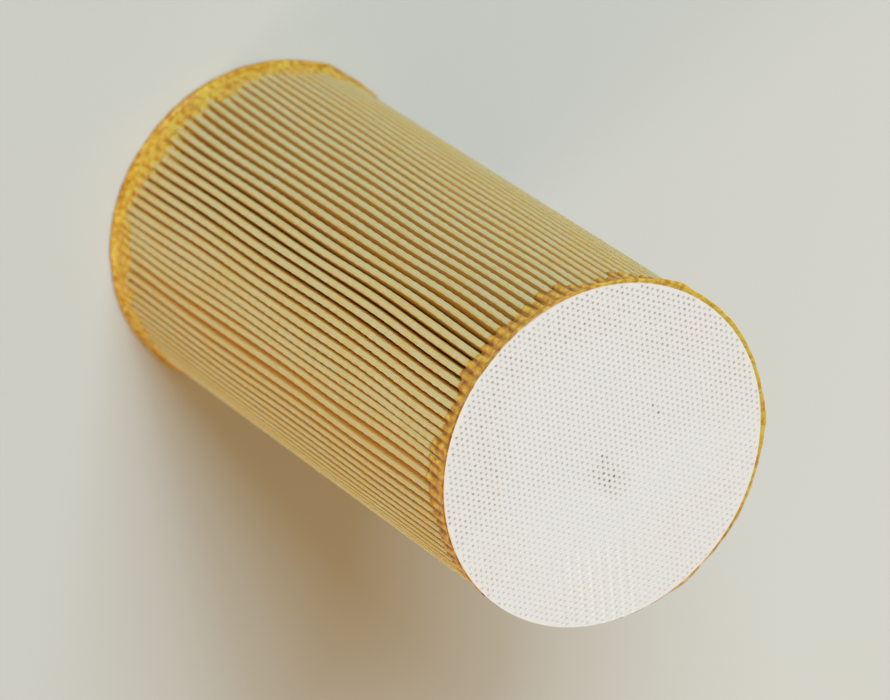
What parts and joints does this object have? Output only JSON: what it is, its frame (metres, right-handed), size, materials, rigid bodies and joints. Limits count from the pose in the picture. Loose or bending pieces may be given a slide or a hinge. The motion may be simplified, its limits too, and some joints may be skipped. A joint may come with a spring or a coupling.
{
  "type": "pleated filter element",
  "caption": "Cylindrical pleated paper filter element with a closed nonwoven end, an outlet hole in the other end, amber potting resin and a moulded inner cage.",
  "frame": {"origin": "centre of the open end's outer face", "axes": "+Z along the axis, from the open end up to the closed end; +Y points at the glued side seam of the paper"},
  "size_m": [0.0708, 0.0708, 0.14],
  "materials": {
    "filter_paper": "matte, resin-impregnated",
    "potting_resin": "glossy, translucent amber",
    "seam_glue": "glossy",
    "nonwoven": "matte, point-bonded",
    "core_plastic": "moulded, satin"
  },
  "bodies": {
    "root": {"pleated_media": "filter_paper", "side_seam_adhesive": "seam_glue", "lower_resin_ring": "potting_resin", "upper_resin_ring": "potting_resin", "closed_end_disc": "nonwoven", "open_end_disc": "nonwoven", "support_core": "core_plastic"}
  },
  "joints": []
}
